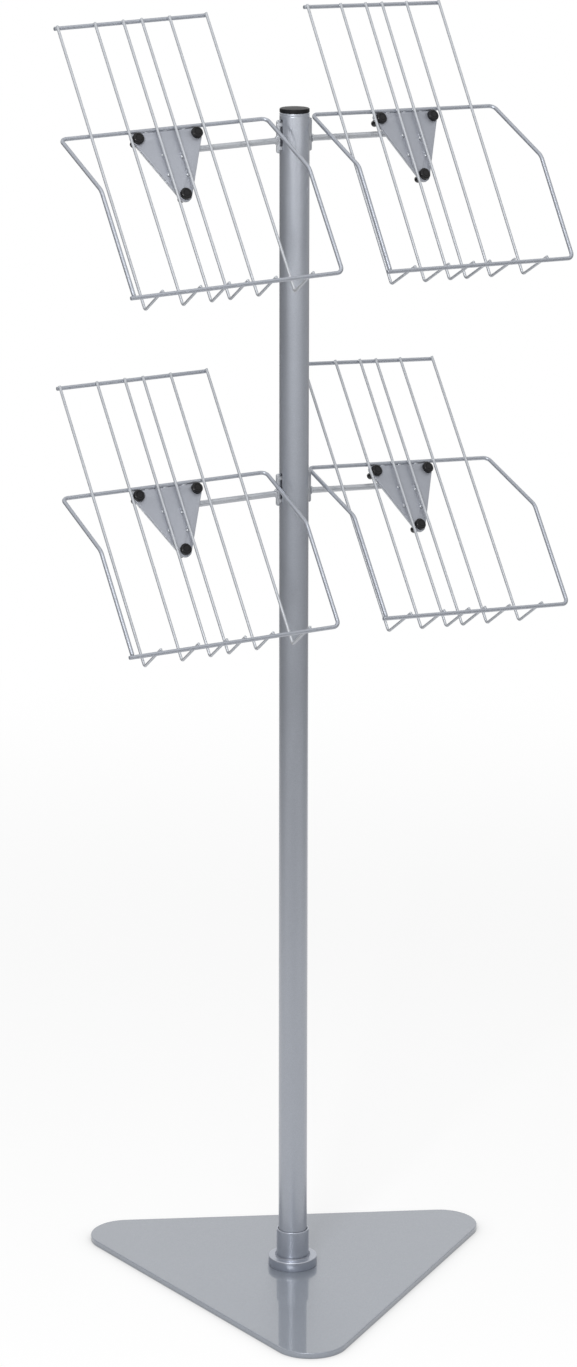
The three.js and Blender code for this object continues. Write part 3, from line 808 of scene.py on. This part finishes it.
# Basket welds. A small bead at every crossing of wire and bar, at the loop's end on its front bar,
# where the plate meets the back bar, and pressed out beside the inner wires at each weld point.
between = 0.0016
back_bead = (0.0012, 0.0007, 0.0013)
front_bead = (0.0012, 0.0013, 0.0007)
rail_bead = (0.0017, 0.0017, 0.0007)
plate_bead = (0.0024, 0.0010, 0.0008)
plate_bead_n = 0.0037
plate_bead_up = 0.0001
plate_bead_us = (-0.020, 0.0, 0.020)
point_bead = (0.0014, 0.0013, 0.0016)
point_bead_left = 0.0016
point_bead_off = 0.0006
point_bead_places = ((-inner_wire_u, 0.1534), (-inner_wire_u, 0.1330),
                     (inner_wire_u, 0.1500), (inner_wire_u, 0.1310))
beads = [((u, between, v), back_bead) for u in wire_us for v in (top_bar_v, loop_back_v)]
beads += [((u, -pocket_depth, -between), front_bead) for u in wire_us]
beads += [((-rail_u, -pocket_depth, -bar_back + bar_r), rail_bead)]
beads += [((u, plate_bead_n, plate_top_v + plate_bead_up), plate_bead) for u in plate_bead_us]
beads += [((u - point_bead_left, -basket_plate_front - point_bead_off, v), point_bead)
          for u, v in point_bead_places]
for number, (name, *pose) in enumerate(holders):
    bm = bmesh.new()
    gather(bm, weld_beads(beads, 40 + number), basket_place(*pose))
    welds = finish_piece(bm, name + "_basket_welds", silver_painted_paler)
    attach(welds, "column")


# Push rivets. Three black plastic rivets a holder, pressed through the basket plate and the arm's
# plate: a thick round head with a pin in front, and a blunt stem that is spread behind the plates.
rivet_head_r = 0.0057
rivet_head_edge = 0.0014
rivet_foot_edge = 0.0002
rivet_face = 0.0039
rivet_pin_r = 0.0030
rivet_pin_top = 0.0040
rivet_gap_floor = 0.0036
rivet_gap_top = 0.0003
rivet_gap_foot = 0.0001
rivet_shank_r = 0.00275
rivet_shank_end = -0.0042
rivet_swell_r = 0.0033
rivet_swell_start = -0.0080
rivet_tail = -0.0139
rivet_tail_steps = ((0.0014, 0.0001), (0.0026, 0.0006), (rivet_swell_r, 0.0017))
rivet_seat = 0.0001


def rivet_tree():
    """One rivet on each of the given points."""
    tree, given, made = new_tree("push_rivets", (
        ("Points", "Geometry"), ("Rivet", "Object"), ("Finish", "Material")), "Rivets")
    link = tree.links.new
    shape = add_node(tree, "GeometryNodeObjectInfo", transform_space="ORIGINAL")
    on_points = add_node(tree, "GeometryNodeInstanceOnPoints")
    link(given.outputs["Rivet"], shape.inputs["Object"])
    link(given.outputs["Points"], on_points.inputs["Points"])
    link(shape.outputs["Geometry"], on_points.inputs["Instance"])
    return finish_tree(tree, given, made, on_points.outputs["Instances"])


rivets_tree = rivet_tree()
glossy_black = moulded_black("black_glossy_plastic", shine=0.25, least_rough=0.13, most_rough=0.18)
head_round = quarter_round(rivet_head_edge, steps=7)
profile = [(0, rivet_tail)] + [(r, rivet_tail + up) for r, up in rivet_tail_steps]
profile += [(rivet_swell_r, rivet_swell_start), (rivet_shank_r, rivet_shank_end), (rivet_shank_r, 0.0)]
profile += [(rivet_head_r - rivet_foot_edge, 0.0), (rivet_head_r, rivet_foot_edge)]
profile += [(rivet_head_r - inset, rivet_face - rivet_head_edge + rise) for inset, rise in head_round]
profile += [(rivet_pin_r + rivet_gap_top, rivet_face), (rivet_pin_r + rivet_gap_foot, rivet_gap_floor)]
profile += [(rivet_pin_r - rivet_gap_foot, rivet_gap_floor), (rivet_pin_r - rivet_gap_top, rivet_face)]
profile += [(0, rivet_pin_top)]
bm = bmesh.new()
turned(bm, profile, sides=40)
bm.transform(Matrix.Rotation(math.pi / 2, 4, "X"))
rivet_shape = finish_piece(bm, "rivet_shape", glossy_black)
for name, *pose in holders:
    points = bpy.data.meshes.new("rivet_points")
    points.from_pydata([(u, -basket_plate_front - rivet_seat, v) for u, v in rivet_places], [], [])
    bm = bmesh.new()
    gather(bm, made_by(rivets_tree, points, rivet=rivet_shape, finish=glossy_black), basket_place(*pose))
    rivets = finish_piece(bm, name + "_push_rivets", glossy_black, crease=40.0)
    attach(rivets, "column")
    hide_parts(*[f"{name}_rivet_{spot}" for spot in ("left", "right", "low")])
bpy.data.objects.remove(rivet_shape)


# Studio. A wide white floor that keeps the rack's soft shadow and a contact shade at the base, one
# softbox left of the camera, a weaker one above it, one overhead, and a dim even light all round.
floor_size = 60.0
floor_below = 0.0002
view_way = (0.539, 0.842, 0.0)
view_across = (0.842, -0.539, 0.0)
view_turn = math.radians(-122.6)
lamp_aim = Vector((0, 0, 0.9))
lamps = (  # name, turn from the view in degrees, distance, height, side of the square, watts
    ("softbox_left", -15, 3.4, 2.6, 1.0, 52),
    ("softbox_front", 1, 3.0, 3.0, 1.4, 18),
    ("softbox_above", -3, 0.9, 3.0, 2.4, 9),
)
dim_level = 0.17
even_level = 0.36


def smooth_ramp(tree, start, end, least=0.0, most=1.0):
    """A smooth step from one level to another as a value goes from its start to its end."""
    levels = {"From Min": start, "From Max": end, "To Min": least, "To Max": most}
    return add_node(tree, "ShaderNodeMapRange", levels, interpolation_type="SMOOTHSTEP")


def mirror_ray(tree, rays):
    """1 for rays that left a mirror or glass, else 0."""
    either = add_node(tree, "ShaderNodeMath", operation="MAXIMUM")
    tree.links.new(rays.outputs["Is Glossy Ray"], either.inputs[0])
    tree.links.new(rays.outputs["Is Transmission Ray"], either.inputs[1])
    return either


def white_floor():
    """White floor: plain white far out, soft shadow near by, and a bright sheet for what mirrors it."""
    finish = bpy.data.materials.new("white_floor")
    finish.use_nodes = True
    tree = finish.node_tree
    link = tree.links.new
    tree.nodes.remove(tree.nodes["Principled BSDF"])
    rays = add_node(tree, "ShaderNodeLightPath")
    place = add_node(tree, "ShaderNodeTexCoord")
    # Painted contact shade: ambient occlusion darkens the floor's glow and its mirrored sheet close to the
    # base.
    painted_contact_shade = add_node(tree, "ShaderNodeAmbientOcclusion", {"Distance": 0.025})

    # As the camera sees it.
    out_from_pole = add_node(tree, "ShaderNodeVectorMath", operation="LENGTH")
    far_out = smooth_ramp(tree, 0.9, 2.4)
    shaded = add_node(tree, "ShaderNodeBsdfDiffuse", {"Color": (0.30, 0.30, 0.30, 1)})
    glow_level = add_node(tree, "ShaderNodeMapRange", {"To Min": 0.30, "To Max": 0.785})
    glow = add_node(tree, "ShaderNodeEmission")
    soft = add_node(tree, "ShaderNodeAddShader")
    white = add_node(tree, "ShaderNodeEmission", {"Strength": 1.0})
    shown = add_node(tree, "ShaderNodeMixShader")
    link(place.outputs["Object"], out_from_pole.inputs[0])
    link(out_from_pole.outputs["Value"], far_out.inputs["Value"])
    link(painted_contact_shade.outputs["AO"], glow_level.inputs["Value"])
    link(glow_level.outputs[0], glow.inputs["Strength"])
    link(shaded.outputs[0], soft.inputs[0])
    link(glow.outputs[0], soft.inputs[1])
    link(far_out.outputs[0], shown.inputs[0])
    link(soft.outputs[0], shown.inputs[1])
    link(white.outputs[0], shown.inputs[2])

    # As the coats mirror it: a bright sheet under the rack on a dim floor, which glows brighter far in
    # front and to the right. That glow is painted light, there for the pole's broad highlight and its
    # lighter right edge.
    along = add_node(tree, "ShaderNodeVectorMath", {1: view_way}, operation="DOT_PRODUCT")
    across = add_node(tree, "ShaderNodeVectorMath", {1: view_across}, operation="DOT_PRODUCT")
    far_front = smooth_ramp(tree, -3.1, -9.5, dim_level, 2.9)
    far_right = smooth_ramp(tree, 1.2, 4.5, 0.0, 0.46)
    painted_far_glow = add_node(tree, "ShaderNodeMath", operation="ADD")
    mirrored_floor_glow = add_node(tree, "ShaderNodeEmission")
    pale_level = add_node(tree, "ShaderNodeMath", {1: 0.97}, operation="MULTIPLY")
    pale = add_node(tree, "ShaderNodeEmission")
    sheet_front = smooth_ramp(tree, -1.9, -0.5)
    sheet_left = smooth_ramp(tree, -1.9, -0.8)
    sheet_right = smooth_ramp(tree, 2.2, 0.8)
    sheet_wide = add_node(tree, "ShaderNodeMath", operation="MULTIPLY")
    sheet = add_node(tree, "ShaderNodeMath", operation="MULTIPLY")
    mirrored = add_node(tree, "ShaderNodeMixShader")
    link(place.outputs["Object"], along.inputs[0])
    link(place.outputs["Object"], across.inputs[0])
    link(along.outputs["Value"], far_front.inputs["Value"])
    link(across.outputs["Value"], far_right.inputs["Value"])
    link(far_front.outputs[0], painted_far_glow.inputs[0])
    link(far_right.outputs[0], painted_far_glow.inputs[1])
    link(painted_far_glow.outputs[0], mirrored_floor_glow.inputs["Strength"])
    link(painted_contact_shade.outputs["AO"], pale_level.inputs[0])
    link(pale_level.outputs[0], pale.inputs["Strength"])
    link(along.outputs["Value"], sheet_front.inputs["Value"])
    link(across.outputs["Value"], sheet_left.inputs["Value"])
    link(across.outputs["Value"], sheet_right.inputs["Value"])
    link(sheet_left.outputs[0], sheet_wide.inputs[0])
    link(sheet_right.outputs[0], sheet_wide.inputs[1])
    link(sheet_front.outputs[0], sheet.inputs[0])
    link(sheet_wide.outputs[0], sheet.inputs[1])
    link(sheet.outputs[0], mirrored.inputs[0])
    link(mirrored_floor_glow.outputs[0], mirrored.inputs[1])
    link(pale.outputs[0], mirrored.inputs[2])

    # As it lights the rack.
    paper = add_node(tree, "ShaderNodeBsdfDiffuse", {"Color": (0.8, 0.8, 0.8, 1)})
    split_mirror = add_node(tree, "ShaderNodeMixShader")
    split_view = add_node(tree, "ShaderNodeMixShader")
    link(mirror_ray(tree, rays).outputs[0], split_mirror.inputs[0])
    link(paper.outputs[0], split_mirror.inputs[1])
    link(mirrored.outputs[0], split_mirror.inputs[2])
    link(rays.outputs["Is Camera Ray"], split_view.inputs[0])
    link(split_mirror.outputs[0], split_view.inputs[1])
    link(shown.outputs[0], split_view.inputs[2])
    link(split_view.outputs[0], tree.nodes["Material Output"].inputs["Surface"])
    return finish


def studio_world():
    """White where the camera looks, a dim even light, and a pale back wall and ceiling in mirrors."""
    world = bpy.data.worlds.new("studio")
    world.use_nodes = True
    tree = world.node_tree
    link = tree.links.new
    background = tree.nodes["Background"]
    background.inputs["Color"].default_value = (1, 1, 1, 1)
    rays = add_node(tree, "ShaderNodeLightPath")
    way = add_node(tree, "ShaderNodeTexCoord")
    to_back = add_node(tree, "ShaderNodeVectorMath", {1: view_way}, operation="DOT_PRODUCT")
    upward = add_node(tree, "ShaderNodeSeparateXYZ")
    back_wall = smooth_ramp(tree, 0.35, 0.85, dim_level, 1.0)
    ceiling = smooth_ramp(tree, 0.12, 0.5, dim_level, 0.90)
    brighter = add_node(tree, "ShaderNodeMath", operation="MAXIMUM")
    mirror_level = add_node(tree, "ShaderNodeMix", {2: even_level}, data_type="FLOAT")
    view_level = add_node(tree, "ShaderNodeMix", {3: 1.0}, data_type="FLOAT")
    link(way.outputs["Generated"], to_back.inputs[0])
    link(way.outputs["Generated"], upward.inputs[0])
    link(to_back.outputs["Value"], back_wall.inputs["Value"])
    link(upward.outputs["Z"], ceiling.inputs["Value"])
    link(back_wall.outputs[0], brighter.inputs[0])
    link(ceiling.outputs[0], brighter.inputs[1])
    link(mirror_ray(tree, rays).outputs[0], mirror_level.inputs[0])
    link(brighter.outputs[0], mirror_level.inputs[3])
    link(rays.outputs["Is Camera Ray"], view_level.inputs[0])
    link(mirror_level.outputs[0], view_level.inputs[2])
    link(view_level.outputs[0], background.inputs["Strength"])
    return world


bm = bmesh.new()
bmesh.ops.create_grid(bm, x_segments=2, y_segments=2, size=floor_size / 2)
floor = finish_piece(bm, "studio_floor", white_floor())
floor.location.z = -floor_below
for label, turn, distance, height, wide, watts in lamps:
    lamp_data = bpy.data.lights.new(label, "AREA")
    lamp_data.shape = "RECTANGLE"
    lamp_data.size = wide
    lamp_data.size_y = wide
    lamp_data.energy = watts
    lamp = bpy.data.objects.new(label, lamp_data)
    angle = view_turn + math.radians(turn)
    lamp.location = (distance * math.cos(angle), distance * math.sin(angle), height)
    lamp.rotation_euler = (lamp_aim - lamp.location).to_track_quat("-Z", "Y").to_euler()
    scene.collection.objects.link(lamp)
scene.world = studio_world()
scene.view_settings.view_transform = "Standard"
